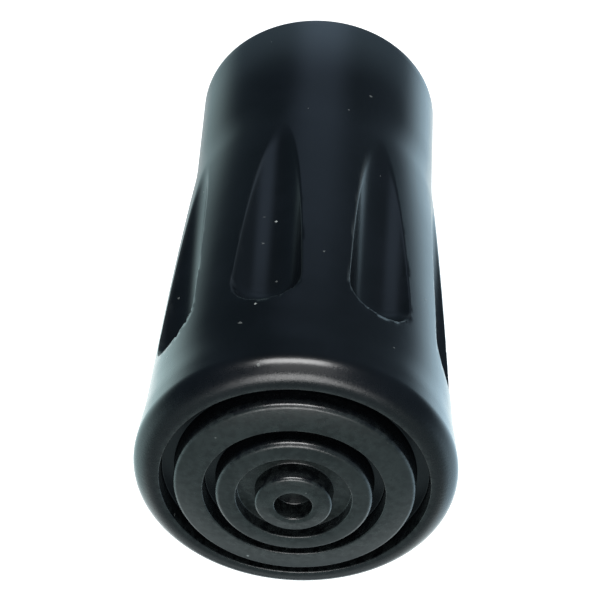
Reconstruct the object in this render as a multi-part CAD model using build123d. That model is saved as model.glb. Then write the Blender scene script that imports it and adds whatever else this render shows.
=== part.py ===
from build123d import *
from math import dist, radians, tan
import os

# A moulded rubber tip that pushes onto the lower end of a trekking pole.
# It is modelled standing on its open mouth, with its tread upwards. All sizes are in millimetres.

# Whole tip
overall_height = 52.0        # mouth face to the crown of the tread
sole_thickness = 14.0        # crown of the tread to the end of the socket

# Outside of the body: diameters at the corners of its side, before these are blended
mouth_diameter = 23.3
waist_diameter = 22.5
neck_diameter = 25.1
foot_diameter = 26.5
waist_height = 8.0           # mouth face to the waist
neck_setback = 9.35          # from the tread's rim down to the neck
waist_blend = 4.5            # length of side that the waist's arc takes each way
neck_blend = 4.0             # length of side that the neck's arc takes each way
longest_blend = 0.6          # most that a blend may take of the shorter side beside it
mouth_edge_bevel = 0.15
foot_edge_radius = 1.9       # rounding between the foot's side and the tread's rim
longest_foot_reach = 0.9     # most of the rim's width that this rounding may take

# Socket for the pole's end
socket_diameter = 11.0
socket_lead_in = 0.6
socket_end_bevel = 1.0

# Flutes: scoops left by a round-ended cutter that leans out of the body towards the mouth
flute_count = 8
flute_radius = 3.38
flute_depth = 2.05           # at the round end
flute_run = 20.5             # from the centre of the round end to where the flute runs out
flute_end_setback = 11.8     # from the tread's rim down to the centre of the round end
flute_turn = 16.4            # degrees from the front to the first flute

# Tread, from the rim inwards: widths are radial, drops are below the crown
rim_drop = 2.15
rim_width = 2.41             # from the foot's corner
groove_1_width = 1.10
ring_1_width = 2.47
groove_2_width = 0.98
ring_2_width = 1.70
groove_3_width = 1.50
ring_1_outer_drop = 1.86
ring_1_inner_drop = 1.30
ring_2_outer_drop = 1.02
ring_2_inner_drop = 0.92
boss_edge_drop = 0.30
boss_land_width = 0.5        # flat crown of the boss round its hole
groove_1_depth = 1.60        # below the rim
groove_2_depth = 1.55        # below the inner edge of ring 1
groove_3_depth = 0.85        # below the inner edge of ring 2
centre_hole_diameter = 3.0
centre_hole_depth = 1.55

# Bevels of the tread's outward edges
ring_1_bevel = 0.32
ring_2_bevel = 0.25
boss_bevel = 0.2

# Levels that follow from the sizes above
crown_z = overall_height
rim_z = crown_z - rim_drop
neck_z = rim_z - neck_setback
flute_low_z = rim_z - flute_end_setback
flute_top_z = flute_low_z - flute_run
socket_depth = overall_height - sole_thickness

# Radii of the tread's walls, from the rim inwards
groove_1_outer = foot_diameter / 2 - rim_width
ring_1_outer = groove_1_outer - groove_1_width
ring_1_inner = ring_1_outer - ring_1_width
ring_2_outer = ring_1_inner - groove_2_width
ring_2_inner = ring_2_outer - ring_2_width
boss_radius = ring_2_inner - groove_3_width


def half_turn(before, corner, after):
    """Half the angle that the outline turns through at a corner, in radians."""
    turn = (Vector(*corner) - Vector(*before)).get_angle(Vector(*after) - Vector(*corner))
    return radians(turn / 2)


def blend_radius(before, corner, after, reach):
    """Radius of the arc that leaves both sides of a corner at the stated distance from it."""
    shorter = min(dist(before, corner), dist(corner, after))
    return min(reach, longest_blend * shorter) / tan(half_turn(before, corner, after))


def foot_rounding(neck, foot):
    """Radius between the foot's side and the rim, kept within the rim's width."""
    groove_edge = (groove_1_outer, rim_z)
    room = longest_foot_reach * rim_width
    return min(foot_edge_radius, room / tan(half_turn(neck, foot, groove_edge)))


def side_corners():
    """Corners of the body's side from the mouth to the tread's rim, each with its rounding."""
    mouth_radius = mouth_diameter / 2
    mouth_face = (mouth_radius - mouth_edge_bevel, 0)
    mouth = (mouth_radius, mouth_edge_bevel)
    waist = (waist_diameter / 2, waist_height)
    neck = (neck_diameter / 2, neck_z)
    foot = (foot_diameter / 2, rim_z)
    return [
        (mouth_face, 0),
        (mouth, 0),
        (waist, blend_radius(mouth, waist, neck, waist_blend)),
        (neck, blend_radius(waist, neck, foot, neck_blend)),
        (foot, foot_rounding(neck, foot)),
    ]


def bevelled(radius, z, bevel):
    """The two corners that a bevel leaves of one outward edge, from its wall to its top."""
    return [(radius, z - bevel), (radius - bevel, z)]


def tread_corners():
    """Corners of the tread's section, from the outer wall of groove 1 to the centre hole's floor."""
    floor_1_z = rim_z - groove_1_depth
    floor_2_z = crown_z - ring_1_inner_drop - groove_2_depth
    floor_3_z = crown_z - ring_2_inner_drop - groove_3_depth
    hole_radius = centre_hole_diameter / 2
    return [
        (groove_1_outer, rim_z),
        (groove_1_outer, floor_1_z),
        (ring_1_outer, floor_1_z),
        *bevelled(ring_1_outer, crown_z - ring_1_outer_drop, ring_1_bevel),
        (ring_1_inner, crown_z - ring_1_inner_drop),
        (ring_1_inner, floor_2_z),
        (ring_2_outer, floor_2_z),
        *bevelled(ring_2_outer, crown_z - ring_2_outer_drop, ring_2_bevel),
        (ring_2_inner, crown_z - ring_2_inner_drop),
        (ring_2_inner, floor_3_z),
        (boss_radius, floor_3_z),
        *bevelled(boss_radius, crown_z - boss_edge_drop, boss_bevel),
        (hole_radius + boss_land_width, crown_z),
        (hole_radius, crown_z),
        (hole_radius, crown_z - centre_hole_depth),
    ]


def turned_body():
    """The tip as turned, without its flutes: half its section, spun about the axis."""
    side = side_corners()
    tread = tread_corners()
    hole_floor = (0, crown_z - centre_hole_depth)
    with BuildPart() as body:
        with BuildSketch(Plane.XZ):
            with BuildLine():
                FilletPolyline(
                    (0, 0),
                    *[corner for corner, _ in side],
                    *tread,
                    hole_floor,
                    radius=[rounding for _, rounding in side] + [0] * len(tread),
                )
                Line(hole_floor, (0, 0))
            make_face()
        revolve(axis=Axis.Z)
    return body.part


def socket():
    """The blind hole for the pole's end, with a lead-in at the mouth and a bevelled end."""
    radius = socket_diameter / 2
    with BuildPart() as hole:
        with BuildSketch(Plane.XZ):
            with BuildLine():
                Polyline(
                    (0, 0),
                    (radius + socket_lead_in, 0),
                    (radius, socket_lead_in),
                    (radius, socket_depth - socket_end_bevel),
                    (radius - socket_end_bevel, socket_depth),
                    (0, socket_depth),
                    close=True,
                )
            make_face()
        revolve(axis=Axis.Z)
    return hole.part


def side_radius(z):
    """Radius of the body's side at a level between the waist and the neck."""
    share = (z - waist_height) / (neck_z - waist_height)
    return (waist_diameter + share * (neck_diameter - waist_diameter)) / 2


def flute_cutter():
    """One round-ended cutter in the XZ plane, which leans out of the body towards the mouth."""
    low = Vector(side_radius(flute_low_z) - flute_depth + flute_radius, 0, flute_low_z)
    top = Vector(side_radius(flute_top_z) + flute_radius, 0, flute_top_z)
    length = (top - low).length + flute_radius
    along = Plane(origin=low, z_dir=top - low)
    shank = along * Cylinder(flute_radius, length, align=(Align.CENTER, Align.CENTER, Align.MIN))
    return shank + Pos(low) * Sphere(flute_radius)


def rubber_tip():
    """The whole moulding."""
    front = -90
    first = Rot(0, 0, front + flute_turn)
    step = 360 / flute_count
    cutter = flute_cutter()
    cutters = [first * Rot(0, 0, step * index) * cutter for index in range(flute_count)]
    return turned_body() - socket() - cutters


os.makedirs("parts", exist_ok=True)
export_step(rubber_tip(), "parts/rubber_tip.step")
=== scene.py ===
"""Looks for a moulded rubber trekking pole tip that stands on its mouth, tread upwards."""

from __future__ import annotations

import logging
import math
from dataclasses import dataclass, field
from enum import Enum
from typing import Any

import bmesh
import bpy
from mathutils import Matrix, Vector

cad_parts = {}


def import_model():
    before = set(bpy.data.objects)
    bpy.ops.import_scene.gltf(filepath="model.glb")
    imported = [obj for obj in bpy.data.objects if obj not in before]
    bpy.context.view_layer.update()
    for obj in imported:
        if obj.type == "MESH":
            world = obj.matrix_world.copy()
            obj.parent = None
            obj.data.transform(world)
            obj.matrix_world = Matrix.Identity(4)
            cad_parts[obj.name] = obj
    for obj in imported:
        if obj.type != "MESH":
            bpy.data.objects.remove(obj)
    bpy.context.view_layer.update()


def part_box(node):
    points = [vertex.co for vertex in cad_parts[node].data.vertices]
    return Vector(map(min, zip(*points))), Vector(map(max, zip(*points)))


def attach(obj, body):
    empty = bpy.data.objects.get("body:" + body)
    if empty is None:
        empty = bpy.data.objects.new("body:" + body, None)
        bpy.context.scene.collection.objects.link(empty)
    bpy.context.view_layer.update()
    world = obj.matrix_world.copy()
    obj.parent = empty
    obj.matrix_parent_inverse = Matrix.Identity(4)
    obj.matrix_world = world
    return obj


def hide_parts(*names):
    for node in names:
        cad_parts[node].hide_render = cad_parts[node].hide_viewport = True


LOG = logging.getLogger("pole_tip")

Pair = tuple[float, float]
Place = tuple[float, float, float]
Colour = tuple[float, float, float, float]
Numbers = tuple[float, ...]

MM = 0.001
NODE = "rubber_tip"
BODY = "root"
WHITE: Colour = (1.0, 1.0, 1.0, 1.0)
NOISE_MIDDLE = 0.5
LEVEL_SLACK_MM = 1e-6
SAME_SPOT_MM = 1e-4
MERGE_MM = 0.002


class Maths(Enum):
    """Operations of a Math node that the shaders use."""

    ADD = "ADD"
    SUBTRACT = "SUBTRACT"
    MULTIPLY = "MULTIPLY"
    MAXIMUM = "MAXIMUM"
    TURN = "ARCTAN2"
    SIZE = "ABSOLUTE"


class Mark(Enum):
    """Marks that the mesh carries for its material, as one number a point."""

    FLASH = "flash_and_highlight"
    WEAR_AND_HIGHLIGHT = "wear_and_highlight"
    SOLE = "sole"


class Val:
    """A shader socket that reads like a number in a Python expression."""

    def __init__(self, shader: Shader, socket: bpy.types.NodeSocket | None) -> None:
        """Wraps a socket.

        Args:
            shader: The node tree's builder.
            socket: The output socket that carries the value.
        """
        self.shader = shader
        self.socket = socket

    def _join(self, kind: Maths, first: Any, second: Any) -> Val:
        """Joins two values by one Math node.

        Args:
            kind: The operation.
            first: A value or a number.
            second: A value or a number.

        Returns:
            The result.
        """
        return self.shader.node("ShaderNodeMath", {"operation": kind.value}, {0: first, 1: second})

    def __add__(self, other: Any) -> Val:
        """Adds."""
        return self._join(Maths.ADD, self, other)

    def __radd__(self, other: Any) -> Val:
        """Adds, reflected."""
        return self._join(Maths.ADD, other, self)

    def __sub__(self, other: Any) -> Val:
        """Subtracts."""
        return self._join(Maths.SUBTRACT, self, other)

    def __rsub__(self, other: Any) -> Val:
        """Subtracts, reflected."""
        return self._join(Maths.SUBTRACT, other, self)

    def __mul__(self, other: Any) -> Val:
        """Multiplies."""
        return self._join(Maths.MULTIPLY, self, other)

    def __rmul__(self, other: Any) -> Val:
        """Multiplies, reflected."""
        return self._join(Maths.MULTIPLY, other, self)

    def at_least(self, other: Any) -> Val:
        """Gives the larger of this and another value."""
        return self._join(Maths.MAXIMUM, self, other)

    def turn_from(self, other: Any) -> Val:
        """Gives the angle of the direction whose parts are this and another value."""
        return self._join(Maths.TURN, self, other)

    def size(self) -> Val:
        """Gives the value without its sign."""
        return self._join(Maths.SIZE, self, 0.0)


class Shader:
    """Builds the nodes of a material or of the world."""

    def __init__(self, tree: bpy.types.NodeTree) -> None:
        """Empties a node tree.

        Args:
            tree: The tree that the nodes go into.
        """
        self.tree = tree
        self.tree.nodes.clear()

    def node(
        self, kind: str, settings: dict[str, Any], inputs: dict[Any, Any], output: Any = 0
    ) -> Val:
        """Adds a node of any kind.

        Args:
            kind: The node's type.
            settings: Its settings, set first.
            inputs: Values or links of its sockets, by name or number.
            output: The output socket that is returned, by name or number.

        Returns:
            The chosen output.
        """
        made = self.tree.nodes.new(kind)
        for key, value in settings.items():
            setattr(made, key, value)
        for key, value in inputs.items():
            if isinstance(value, Val):
                self.tree.links.new(value.socket, made.inputs[key])
            else:
                made.inputs[key].default_value = value
        return Val(self, made.outputs[output] if len(made.outputs) else None)

    def place(self) -> Val:
        """Gives the Object coordinates."""
        return self.node("ShaderNodeTexCoord", {}, {}, "Object")

    def part(self, vector: Val, axis: str) -> Val:
        """Gives one part of a vector, X, Y or Z."""
        return self.node("ShaderNodeSeparateXYZ", {}, {0: vector}, axis)

    def mark(self, mark: Mark) -> Val:
        """Gives one of the mesh's marks."""
        return self.node("ShaderNodeAttribute", {"attribute_name": mark.value}, {}, "Fac")

    def seen(self) -> Val:
        """Gives 1 where the camera looks at something directly and 0 for every other ray."""
        return self.node("ShaderNodeLightPath", {}, {}, "Is Camera Ray")

    def noise(self, place: Val, scale: float, detail: float, roughness: float = 0.5) -> Val:
        """Gives a noise from 0 to 1.

        Args:
            place: Where the noise is read.
            scale: Waves per metre.
            detail: Octaves.
            roughness: Weight of the finer octaves.

        Returns:
            The noise.
        """
        inputs = {"Vector": place, "Scale": scale, "Detail": detail, "Roughness": roughness}
        return self.node("ShaderNodeTexNoise", {}, inputs)

    def band(self, value: Val, low: float, high: float) -> Val:
        """Gives a smooth step.

        Args:
            value: What is read.
            low: Value at which the step starts.
            high: Value at which it is 1. Below low, the step runs downwards.

        Returns:
            A number from 0 to 1.
        """
        settings = {"interpolation_type": "SMOOTHSTEP"}
        inputs = {"Value": value, "From Min": low, "From Max": high}
        return self.node("ShaderNodeMapRange", settings, inputs)

    def blend(self, share: Val, first: Any, second: Any) -> Val:
        """Mixes two colours.

        Args:
            share: How much of the second colour shows.
            first: A colour or a link.
            second: A colour or a link.

        Returns:
            The mixed colour.
        """
        inputs = {0: share, 6: first, 7: second}
        return self.node("ShaderNodeMix", {"data_type": "RGBA"}, inputs, 2)

    def distance(self, place: Val, spot: Place) -> Val:
        """Gives the distance to one spot, in metres.

        Args:
            place: Where it is read.
            spot: The spot, in metres.

        Returns:
            The distance.
        """
        settings = {"operation": "DISTANCE"}
        return self.node("ShaderNodeVectorMath", settings, {0: place, 1: spot}, "Value")


def new_material(name: str) -> tuple[bpy.types.Material, Shader]:
    """Starts an empty material.

    Args:
        name: Its name.

    Returns:
        The material and the builder of its nodes.
    """
    material = bpy.data.materials.new(name)
    material.use_nodes = True
    return material, Shader(material.node_tree)


def deselect_all() -> None:
    """Leaves object mode with nothing selected."""
    if bpy.context.object and bpy.context.object.mode != "OBJECT":
        bpy.ops.object.mode_set(mode="OBJECT")
    bpy.ops.object.select_all(action="DESELECT")


def select_only(piece: bpy.types.Object) -> None:
    """Makes one object the only one selected, and the active one.

    Args:
        piece: The object.
    """
    deselect_all()
    piece.select_set(True)
    bpy.context.view_layer.objects.active = piece


def smooth_step(value: float, low: float, high: float) -> float:
    """Gives 0 below low, 1 above high and a smooth rise between them."""
    share = min(max((value - low) / (high - low), 0.0), 1.0)
    return share * share * (3.0 - 2.0 * share)


@dataclass(frozen=True)
class Corner:
    """A corner of the tip's half section, in millimetres."""

    radius: float
    height: float
    rounding: float = 0.0

    def spot(self) -> Vector:
        """Gives the corner's place in the section's plane."""
        return Vector((self.radius, self.height))


@dataclass(frozen=True)
class Speck:
    """A grain of dust that sits on the rubber, in millimetres."""

    spot: Place
    size: float

    def in_metres(self) -> Place:
        """Gives its place in metres."""
        return tuple(part * MM for part in self.spot)


@dataclass(frozen=True)
class SatinRubber:
    """Black satin rubber as it comes from the mould, dulled by handling on its tread. Some marks
    also paint light and shade: the grooves are kept dark as painted shade, the inner groove's floor
    gets painted light, and the rubbed edges and the flash lines carry a painted highlight.

    A band is the pair of values between which a pattern goes from nothing to full. The mouth's band
    is in metres above the mouth's face.
    """

    body: Colour = (0.0012, 0.0018, 0.0026, 1.0)
    body_pale: Colour = (0.0019, 0.0027, 0.0041, 1.0)
    mouth: Colour = (0.018, 0.025, 0.030, 1.0)
    tread: Colour = (0.0048, 0.0074, 0.0072, 1.0)
    tread_pale: Colour = (0.0098, 0.0138, 0.0135, 1.0)
    worn_and_highlight: Colour = (0.045, 0.055, 0.053, 1.0)
    flash_and_highlight: Colour = (0.130, 0.155, 0.160, 1.0)
    dust: Colour = (0.240, 0.260, 0.250, 1.0)
    worn_and_highlight_share: float = 0.3
    flash_and_highlight_share: float = 0.85
    stray_dust_share: float = 0.3
    body_roughness: float = 0.23
    foot_roughness: float = 0.28
    tread_roughness: float = 0.33
    cloud_roughness: float = 0.10
    grain_roughness: float = 0.15
    dust_roughness: float = 0.25
    wear_polish: float = 0.08
    refraction: float = 1.5
    cloud_per_metre: float = 230.0
    grain_per_metre: float = 4200.0
    coarse_grain: float = 0.4
    dust_per_metre: float = 1500.0
    dust_edge_per_metre: float = 5200.0
    dust_raggedness: float = 0.6
    patch_band: Pair = (0.38, 0.72)
    sole_band: Pair = (0.40, 0.62)
    wear_and_highlight_band: Pair = (0.36, 0.62)
    dust_band: Pair = (0.86, 0.89)
    mouth_band: Pair = (0.009, 0.0)
    grain_height: float = 0.000012
    bump_strength: float = 0.6
    body_relief: float = 0.25
    tread_relief: float = 1.05
    coarse_relief: float = 0.8
    dust_relief: float = 1.2
    specks: tuple[Speck, ...] = (
        Speck((3.09, -10.50, 29.70), 0.15),
        Speck((4.08, -11.94, 41.73), 0.13),
        Speck((3.40, 8.30, 50.43), 0.15),
    )

    def _dust(self, shader: Shader, place: Val) -> Val:
        """Gives the placed grains of dust and a few faint stray ones.

        Args:
            shader: The material's builder.
            place: Where the material is read.

        Returns:
            1 on a grain and 0 elsewhere.
        """
        edge = shader.noise(place, self.dust_edge_per_metre, detail=1.0)
        ragged = (1.0 - self.dust_raggedness / 2) + self.dust_raggedness * edge
        stray = shader.noise(place, self.dust_per_metre, detail=0.0)
        total = shader.band(stray, *self.dust_band) * self.stray_dust_share
        for speck in self.specks:
            far = shader.distance(place, speck.in_metres()) * ragged
            reach = speck.size * MM
            total = total.at_least(shader.band(far, reach, reach / 2))
        return total

    def make(self, rim_level: float, foot_level: float) -> bpy.types.Material:
        """Makes the material.

        Args:
            rim_level: Height of the tread's rim, in metres.
            foot_level: Height at which the foot's rounding starts, in metres.

        Returns:
            The material.
        """
        material, shader = new_material("satin_rubber")
        place = shader.place()
        height = shader.part(place, "Z")
        cloud = shader.noise(place, self.cloud_per_metre, detail=5.0, roughness=0.6)
        grain = shader.noise(place, self.grain_per_metre, detail=3.0, roughness=0.7)
        coarse_per_metre = self.coarse_grain * self.grain_per_metre
        coarse = shader.noise(place, coarse_per_metre, detail=2.0, roughness=0.6)
        foot = shader.band(height, foot_level, rim_level)
        dust = self._dust(shader, place)
        # Rubbed edges of the tread: partly real wear, partly a painted highlight along the ring
        # edges.
        wear_and_highlight = shader.mark(Mark.WEAR_AND_HIGHLIGHT) * shader.band(coarse, *self.wear_and_highlight_band)
        # Paler worn skin on the tread's tops. The grooves and the hole stay dark, which is painted
        # shade in the recesses, and the inner groove's floor gets the paler skin as painted light.
        worn_tops_and_groove_shade = shader.mark(Mark.SOLE)
        skin = shader.blend(shader.band(cloud, *self.patch_band), self.body, self.body_pale)
        mottle = shader.band(coarse * 0.5 + cloud * 0.5, *self.sole_band)
        sole = shader.blend(mottle, self.tread, self.tread_pale)
        # Tops take the paler tread colour, and the recesses keep the dark body colour as painted
        # shade.
        colour = shader.blend(worn_tops_and_groove_shade, skin, sole)
        colour = shader.blend(shader.band(height, *self.mouth_band), colour, self.mouth)
        # Paler colour on the rubbed edges, partly wear and partly painted highlight.
        colour = shader.blend(wear_and_highlight * self.worn_and_highlight_share, colour, self.worn_and_highlight)
        # Pale flash lines along the flute lips: partly moulding flash, partly a painted highlight
        # on the lips.
        colour = shader.blend(shader.mark(Mark.FLASH) * self.flash_and_highlight_share, colour, self.flash_and_highlight)
        colour = shader.blend(dust, colour, self.dust)
        rough = (
            self.body_roughness
            + (self.foot_roughness - self.body_roughness) * foot
            + (self.tread_roughness - self.foot_roughness) * worn_tops_and_groove_shade
            + self.cloud_roughness * (cloud - NOISE_MIDDLE)
            + self.grain_roughness * (grain - NOISE_MIDDLE) * foot
            + self.dust_roughness * dust
            - self.wear_polish * wear_and_highlight
        )
        grains = grain + self.coarse_relief * coarse
        relief = (self.body_relief + self.tread_relief * foot) * grains + self.dust_relief * dust
        bump = shader.node(
            "ShaderNodeBump",
            {},
            {"Strength": self.bump_strength, "Distance": self.grain_height, "Height": relief},
        )
        surface = shader.node(
            "ShaderNodeBsdfPrincipled",
            {},
            {"Base Color": colour, "Roughness": rough, "Normal": bump, "IOR": self.refraction},
        )
        shader.node("ShaderNodeOutputMaterial", {}, {"Surface": surface})
        return material


@dataclass(frozen=True)
class Flutes:
    """The ring of scoops in the body's side, in millimetres and degrees.

    The round end, by the tread, and the run-out, towards the mouth, are the heights of the ends of
    the cutter's path. Each flute has its own strength of flash, a thin raised line along its lip
    whose pale colour is partly a painted highlight. The flash's end is measured up from the round
    end, and its fade up from the run-out.
    """

    count: int = 8
    radius: float = 3.38
    depth: float = 2.05
    round_end: float = 38.05
    run_out: float = 17.55
    first: float = -73.6
    lip: float = 0.14
    flash_width: float = 0.16
    flash_height: float = 0.012
    flash_turn: float = 3.0
    flash_end: Pair = (0.3, 2.0)
    flash_fade: Pair = (1.5, 7.0)
    flash_and_highlight_strengths: Numbers = (0.05, 0.14, 0.22, 0.16, 0.2, 0.14, 0.2, 0.36)

    def nearest(self, azimuth: float) -> tuple[int, float]:
        """Finds the flute nearest to an azimuth.

        Args:
            azimuth: The azimuth, in degrees.

        Returns:
            The flute's number and the azimuth from its middle, in degrees.
        """
        step = 360.0 / self.count
        turns = (azimuth - self.first) / step
        number = round(turns)
        return number % self.count, (turns - number) * step

    def reach(self, off: float, height: float, ball: Vector, along: Vector) -> float | None:
        """Finds how near to the axis the cutter comes.

        The cutter is a cylinder with a ball at its end by the tread. It leans out of the body
        towards the mouth.

        Args:
            off: Azimuth from the flute's middle, in degrees.
            height: Height of the level.
            ball: Centre of the cutter's ball, as radius and height.
            along: Unit vector of the cutter's axis, as radius and height.

        Returns:
            The radius at which the cutter is met, or None where it isn't.
        """
        cosine = math.cos(math.radians(off))
        rise = height - ball.y
        shift = rise * along.y - ball.x * along.x
        square = 1.0 - (cosine * along.x) ** 2
        linear = -2.0 * cosine * (ball.x + along.x * shift)
        constant = ball.x**2 + rise**2 - shift**2 - self.radius**2
        inside = linear * linear - 4.0 * square * constant
        if inside >= 0.0:
            radius = (-linear - math.sqrt(inside)) / (2.0 * square)
            if (radius * cosine - ball.x) * along.x + rise * along.y >= 0.0:
                return radius
        inside = (cosine * ball.x) ** 2 - ball.x**2 - rise**2 + self.radius**2
        if inside < 0.0:
            return None
        return cosine * ball.x - math.sqrt(inside)


@dataclass
class RubberTip:
    """The one moulding: a flared body with flutes, a socket and a tread of rings.

    Its lengths are in millimetres. The crown's height and the foot's radius come from the frame. A
    ring has its outer and its inner radius, with their drops below the crown. The crease and the
    flank's stations are places on the side, each a radius and a height.
    """

    crown: float
    foot_radius: float
    rim_drop: float = 2.15
    foot_rounding: float = 1.75
    foot_lean_deg: float = 7.0
    groove_1_outer: float = 10.84
    groove_1_depth: float = 1.60
    ring_1: Pair = (9.70, 7.27)
    ring_1_drops: Pair = (1.64, 1.20)
    ring_1_rounding: float = 0.40
    groove_2_depth: float = 1.65
    ring_2: Pair = (6.29, 4.60)
    ring_2_drops: Pair = (0.80, 0.72)
    ring_2_rounding: float = 0.42
    groove_3_depth: float = 1.05
    boss_radius: float = 3.09
    boss_drop: float = 0.16
    boss_rounding: float = 0.28
    boss_land: float = 2.0
    boss_land_rounding: float = 0.5
    hole_radius: float = 1.5
    hole_depth: float = 1.55
    socket_radius: float = 5.5
    socket_depth: float = 38.0
    socket_lead_in: float = 0.6
    lead_in_rounding: float = 0.1
    socket_end_bevel: float = 1.0
    socket_end_rounding: float = 0.3
    mouth_radius: float = 11.58
    mouth_rounding: float = 0.15
    crease: Pair = (11.28, 13.0)
    crease_blend: float = 2.2
    sharp: float = 0.12
    flank: tuple[Pair, ...] = (
        (11.58, 17.2),
        (12.03, 25.5),
        (12.40, 34.0),
        (12.59, 40.0),
        (12.75, 44.2),
        (12.96, 46.4),
    )
    fluted: Pair = (15.6, 42.6)
    row_pitch: float = 0.45
    rows_above: Numbers = (47.4, 46.8, 46.2, 45.4, 44.5, 43.6)
    rows_below: Numbers = (15.0, 14.5, 14.0, 13.5, 13.0, 12.5, 12.0, 11.4, 10.0, 7.0, 4.0, 2.0)
    lowest_row: float = 1.0
    foot_parts: int = 14
    arc_step_deg: float = 15.0
    arc_least_parts: int = 3
    full_arc_rounding: float = 0.2
    turns: int = 288
    lip_zone: float = 0.30
    lip_cuts: int = 3
    outside_from: float = 9.0
    small_step: float = 0.05
    wear_and_highlight_reach: float = 0.3
    rim_skin_share: float = 0.3
    rim_fade: float = 0.6
    wall_slack: float = 0.02
    skin_depths: Pair = (0.12, 0.02)
    flutes: Flutes = field(default_factory=Flutes)
    finish: SatinRubber = field(default_factory=SatinRubber)

    def __post_init__(self) -> None:
        """Works out the levels and the side's stations."""
        self.rim = self.crown - self.rim_drop
        self.foot = self.rim - self.foot_rounding
        self.boss_level = self.crown - self.boss_drop
        self.ring_1_levels = [self.crown - drop for drop in self.ring_1_drops]
        self.ring_2_levels = [self.crown - drop for drop in self.ring_2_drops]
        self.floor_1 = self.rim - self.groove_1_depth
        self.floor_2 = self.ring_1_levels[1] - self.groove_2_depth
        self.floor_3 = self.ring_2_levels[1] - self.groove_3_depth
        lean = math.radians(self.foot_lean_deg)
        start = (
            self.foot_radius - self.foot_rounding * (1.0 - math.cos(lean)),
            self.foot - self.foot_rounding * math.sin(lean),
        )
        self.stations = [(self.mouth_radius, 0.0), self.crease, *self.flank, start]

    def side_radius(self, height: float) -> float:
        """Gives the side's radius at a level, before the flutes are scooped.

        Args:
            height: The level.

        Returns:
            The radius. The collar below the crease is straight, and the flank above it is a curve
            through its stations, which ends with the lean that the foot's rounding starts with.
        """
        (start, low), (end, high) = self.stations[:2]
        collar_lean = (end - start) / (high - low)
        near = max(self.crease_blend - abs(height - high), 0.0)
        soft = (self._lean(1) - collar_lean) * near**2 / (4.0 * self.crease_blend)
        if height <= high:
            return end + collar_lean * (height - high) + soft
        return self._flank_radius(height) + soft

    def _flank_radius(self, height: float) -> float:
        """Gives the radius of the curve above the crease at a level.

        Args:
            height: The level.

        Returns:
            The radius, on a cubic curve between the two stations beside the level.
        """
        points = self.stations
        reached = (i for i in range(2, len(points)) if height <= points[i][1] + LEVEL_SLACK_MM)
        place = next(reached) - 1
        (start, low), (end, high) = points[place], points[place + 1]
        span = high - low
        share = (height - low) / span
        lean_in, lean_out = self._lean(place), self._lean(place + 1)
        return (
            start * (1 + 2 * share) * (1 - share) ** 2
            + lean_in * span * share * (1 - share) ** 2
            + end * share**2 * (3 - 2 * share)
            + lean_out * span * share**2 * (share - 1)
        )

    def _lean(self, place: int) -> float:
        """Gives the flank's slope at one of its stations.

        Args:
            place: The station's number, from the crease, which is 1.

        Returns:
            Radius gained for each unit of height.
        """
        points = self.stations
        if place == len(points) - 1:
            return math.tan(math.radians(self.foot_lean_deg))
        before = points[max(place - 1, 1)]
        after = points[place + 1]
        return (after[0] - before[0]) / (after[1] - before[1])

    def tread_corners(self) -> list[Corner]:
        """Gives the tread's corners, from the centre hole's floor to the rim."""
        hole_floor = self.crown - self.hole_depth
        return [
            Corner(0.0, hole_floor),
            Corner(self.hole_radius, hole_floor, self.sharp),
            Corner(self.hole_radius, self.crown, self.sharp),
            Corner(self.boss_land, self.crown, self.boss_land_rounding),
            Corner(self.boss_radius, self.boss_level, self.boss_rounding),
            Corner(self.boss_radius, self.floor_3, self.sharp),
            Corner(self.ring_2[1], self.floor_3, self.sharp),
            Corner(self.ring_2[1], self.ring_2_levels[1], self.sharp),
            Corner(self.ring_2[0], self.ring_2_levels[0], self.ring_2_rounding),
            Corner(self.ring_2[0], self.floor_2, self.sharp),
            Corner(self.ring_1[1], self.floor_2, self.sharp),
            Corner(self.ring_1[1], self.ring_1_levels[1], self.sharp),
            Corner(self.ring_1[0], self.ring_1_levels[0], self.ring_1_rounding),
            Corner(self.ring_1[0], self.floor_1, self.sharp),
            Corner(self.groove_1_outer, self.floor_1, self.sharp),
            Corner(self.groove_1_outer, self.rim, self.sharp),
        ]

    def mouth_corners(self) -> list[Corner]:
        """Gives the corners from the side's lowest row, round the mouth, to the socket's end."""
        inner = self.socket_radius
        bevelled = self.socket_depth - self.socket_end_bevel
        return [
            Corner(self.side_radius(self.lowest_row), self.lowest_row),
            Corner(self.mouth_radius, 0.0, self.mouth_rounding),
            Corner(inner + self.socket_lead_in, 0.0, self.lead_in_rounding),
            Corner(inner, self.socket_lead_in, self.lead_in_rounding),
            Corner(inner, bevelled, self.socket_end_rounding),
            Corner(inner - self.socket_end_bevel, self.socket_depth, self.socket_end_rounding),
            Corner(0.0, self.socket_depth),
        ]

    def rounded(self, corners: list[Corner]) -> list[Vector]:
        """Replaces the corners of an outline by arcs.

        Args:
            corners: The outline's corners, in order. All but the first and the last are rounded.

        Returns:
            The outline's points.
        """
        points = [corners[0].spot()]
        for before, corner, after in zip(corners, corners[1:], corners[2:]):
            back = (before.spot() - corner.spot()).normalized()
            ahead = (after.spot() - corner.spot()).normalized()
            turn = math.pi - back.angle(ahead)
            reach = corner.rounding * math.tan(turn / 2)
            middle = (back + ahead).normalized() * (corner.rounding / math.cos(turn / 2))
            centre = corner.spot() + middle
            start = (corner.spot() + back * reach - centre).normalized()
            end = (corner.spot() + ahead * reach - centre).normalized()
            fineness = min(1.0, corner.rounding / self.full_arc_rounding)
            steps = math.degrees(turn) / self.arc_step_deg * fineness
            parts = max(self.arc_least_parts, math.ceil(steps))
            leans = [start.slerp(end, part / parts) for part in range(parts + 1)]
            points += [centre + lean * corner.rounding for lean in leans]
        points.append(corners[-1].spot())
        return points

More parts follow.
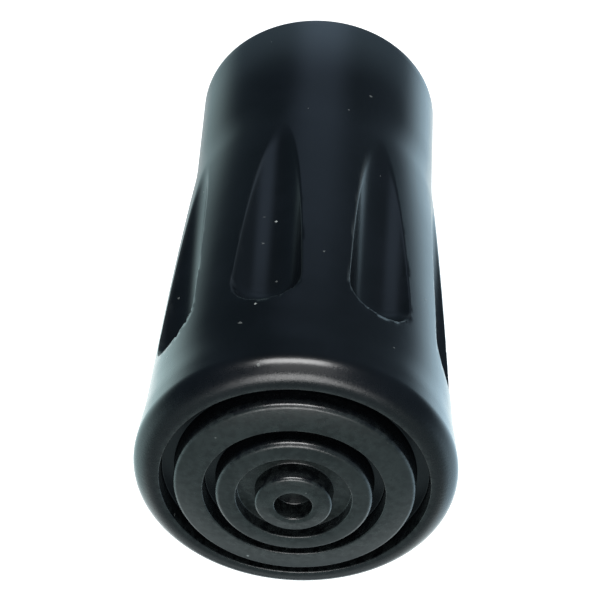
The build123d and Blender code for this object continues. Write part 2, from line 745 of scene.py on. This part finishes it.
    def outline(self) -> list[Vector]:
        """Gives the whole half section, from the tread's middle to the socket's end."""
        foot_inside = self.foot_radius - self.foot_rounding
        rim_end = Corner(foot_inside - self.small_step, self.rim)
        points = self.rounded([*self.tread_corners(), rim_end])
        centre = Vector((foot_inside, self.foot))
        for part in range(self.foot_parts + 1):
            angle = math.radians(90.0 - (90.0 + self.foot_lean_deg) * part / self.foot_parts)
            lean = Vector((math.cos(angle), math.sin(angle)))
            points.append(centre + lean * self.foot_rounding)
        bottom, top = self.fluted
        rows = math.ceil((top - bottom) / self.row_pitch)
        through = [top + (bottom - top) * row / rows for row in range(rows + 1)]
        heights = [*self.rows_above, *through, *self.rows_below]
        points += [Vector((self.side_radius(height), height)) for height in heights]
        return points + self.rounded(self.mouth_corners())

    def spin_body(self) -> bpy.types.Object:
        """Draws the half section and spins it about the axis.

        Returns:
            The turned body, with no flutes yet.
        """
        points = self.outline()
        kept = [points[0]]
        for last, point in zip(points, points[1:]):
            if (point - last).length > SAME_SPOT_MM:
                kept.append(point)
        deselect_all()
        start = Vector((kept[0].x, 0.0, kept[0].y)) * MM
        bpy.ops.mesh.primitive_plane_add(size=MM, location=start)
        piece = bpy.context.object
        piece.name = "moulded_tip"
        bpy.ops.object.transform_apply(location=True)
        bpy.ops.object.mode_set(mode="EDIT")
        bpy.ops.mesh.merge(type="CENTER")
        for last, point in zip(kept, kept[1:]):
            step = Vector((point.x - last.x, 0.0, point.y - last.y)) * MM
            bpy.ops.mesh.extrude_region_move(TRANSFORM_OT_translate={"value": step})
        bpy.ops.mesh.select_all(action="SELECT")
        bpy.ops.mesh.spin(
            steps=self.turns, angle=math.tau, center=(0.0, 0.0, 0.0), axis=(0.0, 0.0, 1.0)
        )
        bpy.ops.mesh.select_all(action="SELECT")
        bpy.ops.mesh.remove_doubles(threshold=MERGE_MM * MM)
        bpy.ops.mesh.normals_make_consistent(inside=False)
        bpy.ops.object.mode_set(mode="OBJECT")
        return piece

    def _cutter(self) -> tuple[Vector, Vector]:
        """Gives the centre of the cutter's ball and its direction, as radius and height."""
        flutes = self.flutes
        ball_radius = self.side_radius(flutes.round_end) - flutes.depth + flutes.radius
        ball = Vector((ball_radius, flutes.round_end))
        end_radius = self.side_radius(flutes.run_out) + flutes.radius
        end = Vector((end_radius, flutes.run_out))
        return ball, (end - ball).normalized()

    def _is_fluted(self, around: float, height: float) -> bool:
        """Tells whether a point lies on the outer side, at the flutes' levels."""
        bottom, top = self.fluted
        return around > self.outside_from and bottom < height < top

    def _scooped(self, azimuth: float, height: float) -> tuple[float, float]:
        """Works out the side where the flutes are, with soft lips and thin lines of flash, whose
        pale mark is partly a painted highlight on the lips.

        Args:
            azimuth: Azimuth of the point, in degrees.
            height: Its level.

        Returns:
            The radius, and the flash from 0 to 1, which also sets the painted highlight along the
            lip.
        """
        flutes = self.flutes
        plain = self.side_radius(height)
        ball, along = self._cutter()
        number, off = flutes.nearest(azimuth)
        cut = flutes.reach(off, height, ball, along)
        if cut is None:
            return plain, 0.0
        nearness = max(flutes.lip - abs(plain - cut), 0.0) / flutes.lip
        radius = min(plain, cut) - nearness**2 * flutes.lip / 4
        side = smooth_step(off, -flutes.flash_turn, flutes.flash_turn)
        end = smooth_step(height, *(flutes.round_end + above for above in flutes.flash_end))
        fade = smooth_step(height, *(flutes.run_out + above for above in flutes.flash_fade))
        line = math.exp(-(((plain - cut) / flutes.flash_width) ** 2)) * fade
        flash_and_highlight = line * max(side, end) * flutes.flash_and_highlight_strengths[number]
        return radius + flash_and_highlight * flutes.flash_height, flash_and_highlight

    def _tops(self) -> list[Pair]:
        """Gives the line of the tread's tops, from the middle to the rim, as radius and height.

        It crosses the two outer grooves, which stay dark as painted shade, and follows the floor of
        the inner one, which gets the tops' paler skin as painted light on that floor.
        """
        return [
            (0.0, self.crown),
            (self.boss_land, self.crown),
            (self.boss_radius, self.boss_level),
            (self.boss_radius + self.small_step, self.floor_3),
            (self.ring_2[1] - self.small_step, self.floor_3),
            (self.ring_2[1], self.ring_2_levels[1]),
            (self.ring_2[0], self.ring_2_levels[0]),
            (self.ring_1[1], self.ring_1_levels[1]),
            (self.ring_1[0], self.ring_1_levels[0]),
            (self.groove_1_outer, self.rim),
        ]

    def _on_top(self, height: float, level: float) -> float:
        """Gives 1 at the level of a top, and 0 a little below it."""
        lower, upper = self.skin_depths
        return smooth_step(height, level - lower, level - upper)

    def _sole_share(self, around: float, height: float) -> float:
        """Tells how much of the tread's paler, worn skin a point has; where it has none, the rubber
        stays dark, which in the grooves is painted shade.

        Args:
            around: The point's radius.
            height: Its level.

        Returns:
            1 on the line of the tops, less on the rim, 0 in the outer grooves and on the foot.
        """
        rim_start = self.groove_1_outer
        if around >= rim_start - self.wall_slack:
            fade = smooth_step(around, rim_start, rim_start + self.rim_fade)
            return self.rim_skin_share * (1.0 - fade) * self._on_top(height, self.rim)
        tops = self._tops()
        place = next(i for i, top in enumerate(tops[1:]) if around <= top[0])
        (start, high), (end, low) = tops[place], tops[place + 1]
        level = high + (low - high) * (around - start) / (end - start)
        return self._on_top(height, level)

    def refine_lips(self, piece: bpy.types.Object) -> None:
        """Divides the faces along the flutes' lips.

        Args:
            piece: The turned body.
        """
        ball, along = self._cutter()
        select_only(piece)
        bpy.ops.object.mode_set(mode="EDIT")
        bpy.ops.mesh.select_mode(type="FACE")
        bpy.ops.mesh.select_all(action="DESELECT")
        shape = bmesh.from_edit_mesh(piece.data)
        for face in shape.faces:
            middle = face.calc_center_median() / MM
            if not self._is_fluted(math.hypot(middle.x, middle.y), middle.z):
                continue
            off = self.flutes.nearest(math.degrees(math.atan2(middle.y, middle.x)))[1]
            cut = self.flutes.reach(off, middle.z, ball, along)
            if cut is not None:
                face.select = abs(self.side_radius(middle.z) - cut) < self.lip_zone
        shape.select_flush_mode()
        bmesh.update_edit_mesh(piece.data)
        bpy.ops.mesh.subdivide(number_cuts=self.lip_cuts)
        bpy.ops.object.mode_set(mode="OBJECT")

    def scoop_flutes(self, piece: bpy.types.Object) -> None:
        """Presses the flutes into the side, and marks their flash lines, the tread's rubbed edges
        and its paler skin. The flash lines and the rubbed edges also carry a painted highlight, and
        where the skin is missing the grooves stay dark as painted shade.

        Args:
            piece: The turned body with refined lips.
        """
        mesh = piece.data
        marks = {mark: mesh.attributes.new(mark.value, "FLOAT", "POINT") for mark in Mark}
        lowest_edge = self.rim - self.small_step
        edges = [corner.spot() for corner in self.tread_corners() if corner.height > lowest_edge]
        for point in mesh.vertices:
            spot = point.co / MM
            around = math.hypot(spot.x, spot.y)
            if self._is_fluted(around, spot.z):
                azimuth = math.atan2(spot.y, spot.x)
                radius, flash_and_highlight = self._scooped(math.degrees(azimuth), spot.z)
                lean = Vector((math.cos(azimuth), math.sin(azimuth), 0.0)) * radius
                point.co = Vector((lean.x, lean.y, spot.z)) * MM
                # Flash mark, which also paints a highlight along the lip.
                marks[Mark.FLASH].data[point.index].value = flash_and_highlight
            elif spot.z > self.foot:
                # Mark of the rubbed tread edges, which also carries a painted highlight on them.
                near = min((Vector((around, spot.z)) - edge).length for edge in edges)
                wear_and_highlight = math.exp(-((near / self.wear_and_highlight_reach) ** 2))
                marks[Mark.WEAR_AND_HIGHLIGHT].data[point.index].value = wear_and_highlight
                marks[Mark.SOLE].data[point.index].value = self._sole_share(around, spot.z)
        mesh.update()

    def finish_mesh(self, piece: bpy.types.Object) -> None:
        """Shades the piece smooth, with its flat faces left flat.

        Args:
            piece: The scooped body.
        """
        select_only(piece)
        bpy.ops.object.shade_smooth()
        flat = piece.modifiers.new("weighted", "WEIGHTED_NORMAL")
        flat.mode = "FACE_AREA"
        bpy.ops.object.modifier_apply(modifier=flat.name)

    def build(self) -> bpy.types.Object:
        """Makes the tip, dresses it and lets it stand for its CAD node.

        Returns:
            The finished piece.
        """
        piece = self.spin_body()
        self.refine_lips(piece)
        self.scoop_flutes(piece)
        self.finish_mesh(piece)
        piece.data.materials.append(self.finish.make(self.rim * MM, self.foot * MM))
        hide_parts(NODE)
        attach(piece, BODY)
        return piece


@dataclass(frozen=True)
class Lamp:
    """A plain area lamp, in metres and watts."""

    name: str
    spot: Place
    size: Pair
    power: float

    def hang(self, aim: Place) -> bpy.types.Object:
        """Makes the lamp.

        Args:
            aim: The point that it faces.

        Returns:
            The lamp.
        """
        data = bpy.data.lights.new(self.name, "AREA")
        data.shape = "RECTANGLE"
        data.size, data.size_y = self.size
        data.energy = self.power
        lamp = bpy.data.objects.new(self.name, data)
        bpy.context.collection.objects.link(lamp)
        lamp.location = self.spot
        lamp.rotation_mode = "QUATERNION"
        way = Vector(aim) - Vector(self.spot)
        lamp.rotation_quaternion = way.to_track_quat("-Z", "Y")
        return lamp


@dataclass
class Studio:
    """A white floor, plain soft lamps, the surroundings and the camera of the photograph.

    The camera sees the floor and the world white. The tip sees dark ground in front and a white
    sheet behind, with a dark gap low in its middle, and the floor near it shaded, with a glow on
    its front side. Such a part goes from nothing to full between a pair of limits. These are
    metres, degrees from the front or, where the name has no unit, one part of the direction's unit
    vector. The lamps and their aim are in metres.
    """

    focal_px: float = 1696.0
    frame_px: float = 596.0
    sensor_mm: float = 36.0
    tilt_deg: float = 42.19
    roll_deg: float = 4.08
    sole_centre_px: Pair = (294.4, 486.0)
    distance_mm: float = 135.36
    rim_from_floor_mm: float = 49.835
    clip_start_m: float = 0.005
    floor_size_m: float = 2.4
    floor_tone: Colour = (0.8, 0.8, 0.8, 1.0)
    floor_light: float = 0.82
    dark_left: Colour = (0.050, 0.076, 0.098, 1.0)
    dark_right: Colour = (0.105, 0.145, 0.185, 1.0)
    dark_across: Pair = (0.2, -0.5)
    shade_reach_m: Pair = (0.042, 0.026)
    shade_left: float = 0.30
    shade_added: float = 0.28
    shade_edge_m: Pair = (-0.01, 0.01)
    glow: Colour = (0.45, 0.60, 0.80, 1.0)
    glow_far_m: Pair = (0.047, 0.030)
    glow_far_share: float = 0.42
    glow_near_m: Pair = (0.021, 0.012)
    glow_near_share: float = 0.5
    glow_flat_m: Pair = (0.064, 0.046)
    glow_flat_share: float = 0.85
    glow_slant: Pair = (-0.80, -0.70)
    glow_across: Pair = (0.36, 0.08)
    glow_ahead: Pair = (-0.2, -0.45)
    sheet_left: Colour = (1.16, 1.58, 1.62, 1.0)
    sheet_right: Colour = (1.36, 1.86, 2.18, 1.0)
    sheet_back: Colour = (1.90, 2.10, 2.12, 1.0)
    sheet_high: Colour = (0.22, 0.30, 0.32, 1.0)
    sheet_turns_deg: Pair = (86.0, 124.0)
    sheet_back_turns_deg: Pair = (139.8, 159.86)
    sheet_across: Pair = (0.3, -0.3)
    sheet_rise: Pair = (0.16, 0.66)
    gap_share: float = 0.9
    gap_across: Pair = (0.45, 0.15)
    gap_top: Pair = (0.50, 0.20)
    gap_foot: Pair = (-0.35, -0.10)
    aim: Place = (0.0, 0.0, 0.045)
    lamps: tuple[Lamp, ...] = (
        Lamp("lamp_front", (0.027, -0.311, 0.042), (0.23, 0.145), 1.50),
        Lamp("lamp_middle", (0.005, -0.304, 0.268), (0.28, 0.31), 0.34),
        Lamp("lamp_top", (0.012, -0.046, 0.407), (0.18, 0.21), 0.88),
    )

    def camera(self) -> bpy.types.Object:
        """Places the camera where the photograph was taken from.

        It looks at the middle of the tread's rim plane, from the front and above, and is turned
        nearly upside down, because the photographed tip lies with its tread towards the viewer.

        Returns:
            The camera.
        """
        tilt = Matrix.Rotation(math.radians(self.tilt_deg), 3, "X")
        turn = Matrix.Rotation(math.radians(self.roll_deg), 3, "Z") @ tilt
        half = self.frame_px / 2
        off = [(pixel - half) / self.focal_px for pixel in self.sole_centre_px]
        sole = Vector((*off, 1.0)) * self.distance_mm
        back = -(turn.transposed() @ sole)
        spot = Vector((-back.x, back.y, self.rim_from_floor_mm - back.z)) * MM
        flip = Matrix.Diagonal((-1.0, 1.0, -1.0))
        view = Matrix.Diagonal((1.0, -1.0, -1.0)) @ (turn @ flip)
        data = bpy.data.cameras.new("camera")
        data.sensor_width = self.sensor_mm
        data.lens = self.focal_px / self.frame_px * self.sensor_mm
        data.clip_start = self.clip_start_m
        camera = bpy.data.objects.new("camera", data)
        bpy.context.collection.objects.link(camera)
        camera.matrix_world = Matrix.Translation(spot) @ view.transposed().to_4x4()
        bpy.context.scene.camera = camera
        return camera

    def floor(self) -> bpy.types.Object:
        """Lays a floor that is white to the camera and keeps a soft shadow.

        To everything else it shows the surroundings, dimmed near the tip by the tip's own shade,
        with the glow on top.

        Returns:
            The floor.
        """
        deselect_all()
        bpy.ops.mesh.primitive_plane_add(size=self.floor_size_m, location=(0.0, 0.0, 0.0))
        floor = bpy.context.object
        floor.name = "floor"
        material, shader = new_material("floor_white")
        back = shader.node("ShaderNodeNewGeometry", {}, {}, "Incoming")
        ray = shader.node("ShaderNodeVectorMath", {"operation": "SCALE"}, {0: back, 3: -1.0})
        place = shader.place()
        away = shader.distance(place, (0.0, 0.0, 0.0))
        right = shader.band(shader.part(place, "X"), *self.shade_edge_m)
        depth = self.shade_left + self.shade_added * right
        shade = shader.band(away, *self.shade_reach_m) * depth
        colour = shader.blend(shade, self._around(shader, ray), self.dark_left)
        colour = shader.blend(self._glow_share(shader, ray, away), colour, self.glow)
        around = shader.node("ShaderNodeEmission", {}, {"Color": colour, "Strength": 1.0})
        lit = shader.node("ShaderNodeBsdfDiffuse", {}, {"Color": self.floor_tone})
        light = {"Color": WHITE, "Strength": self.floor_light}
        white = shader.node("ShaderNodeEmission", {}, light)
        pale = shader.node("ShaderNodeAddShader", {}, {0: lit, 1: white})
        both = shader.node("ShaderNodeMixShader", {}, {0: shader.seen(), 1: around, 2: pale})
        shader.node("ShaderNodeOutputMaterial", {}, {"Surface": both})
        floor.data.materials.append(material)
        return floor

    def _glow_share(self, shader: Shader, ray: Val, away: Val) -> Val:
        """Gives how much of the glow the floor shows in one direction.

        Args:
            shader: The builder of the floor's nodes.
            ray: Direction in which it is looked.
            away: Distance from the tip, in metres.

        Returns:
            A number from 0 to 1: most near the tip, and further out only along slanting rays.
        """
        ahead = shader.band(shader.part(ray, "X").size(), *self.glow_across)
        ahead = ahead * shader.band(shader.part(ray, "Y"), *self.glow_ahead)
        far = self.glow_far_share * shader.band(away, *self.glow_far_m)
        near = self.glow_near_share * shader.band(away, *self.glow_near_m)
        slant = shader.band(shader.part(ray, "Z"), *self.glow_slant)
        flat = shader.band(away, *self.glow_flat_m) * slant
        return ahead * (far + near).at_least(self.glow_flat_share * flat)

    def _around(self, shader: Shader, ray: Val) -> Val:
        """Gives the light that comes from one direction of the surroundings.

        Args:
            shader: The builder of the floor's or the world's nodes.
            ray: Direction in which it is looked.

        Returns:
            The light's colour: dark ground in front, and behind a white sheet with a gap.
        """
        across = shader.part(ray, "X")
        rise = shader.part(ray, "Z")
        turn = across.turn_from(0.0 - shader.part(ray, "Y")).size()
        behind = shader.band(turn, *map(math.radians, self.sheet_turns_deg))
        back = shader.band(turn, *map(math.radians, self.sheet_back_turns_deg))
        side = shader.band(across, *self.dark_across)
        ground = shader.blend(side, self.dark_left, self.dark_right)
        side = shader.band(across, *self.sheet_across)
        sheet = shader.blend(side, self.sheet_left, self.sheet_right)
        sheet = shader.blend(back, sheet, self.sheet_back)
        sheet = shader.blend(shader.band(rise, *self.sheet_rise), sheet, self.sheet_high)
        gap = shader.band(across.size(), *self.gap_across) * shader.band(rise, *self.gap_top)
        gap = gap * shader.band(rise, *self.gap_foot) * self.gap_share
        sheet = shader.blend(gap, sheet, ground)
        return shader.blend(behind, ground, sheet)

    def world(self) -> None:
        """Makes the surroundings white to the camera and as they were to the object."""
        world = bpy.data.worlds.new("surroundings")
        bpy.context.scene.world = world
        world.use_nodes = True
        shader = Shader(world.node_tree)
        ray = shader.node("ShaderNodeTexCoord", {}, {}, "Generated")
        colour = self._around(shader, ray)
        around = shader.node("ShaderNodeBackground", {}, {"Color": colour, "Strength": 1.0})
        white = shader.node("ShaderNodeBackground", {}, {"Color": WHITE, "Strength": 1.0})
        both = shader.node("ShaderNodeMixShader", {}, {0: shader.seen(), 1: around, 2: white})
        shader.node("ShaderNodeOutputWorld", {}, {"Surface": both})

    def build(self) -> None:
        """Makes the camera, the floor, the surroundings and the lamps."""
        self.camera()
        self.floor()
        self.world()
        for lamp in self.lamps:
            lamp.hang(self.aim)
        bpy.context.scene.view_settings.view_transform = "Standard"


def main() -> None:
    """Loads the frame, makes the tip and sets the studio."""
    logging.basicConfig(level=logging.INFO, format="%(name)s: %(message)s")
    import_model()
    lowest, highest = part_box(NODE)
    tip = RubberTip(crown=highest.z / MM, foot_radius=(highest.x - lowest.x) / 2 / MM).build()
    triangles = sum(len(face.vertices) - 2 for face in tip.data.polygons)
    LOG.info("made %s with %d triangles", tip.name, triangles)
    Studio().build()


if __name__ == "__main__":
    main()
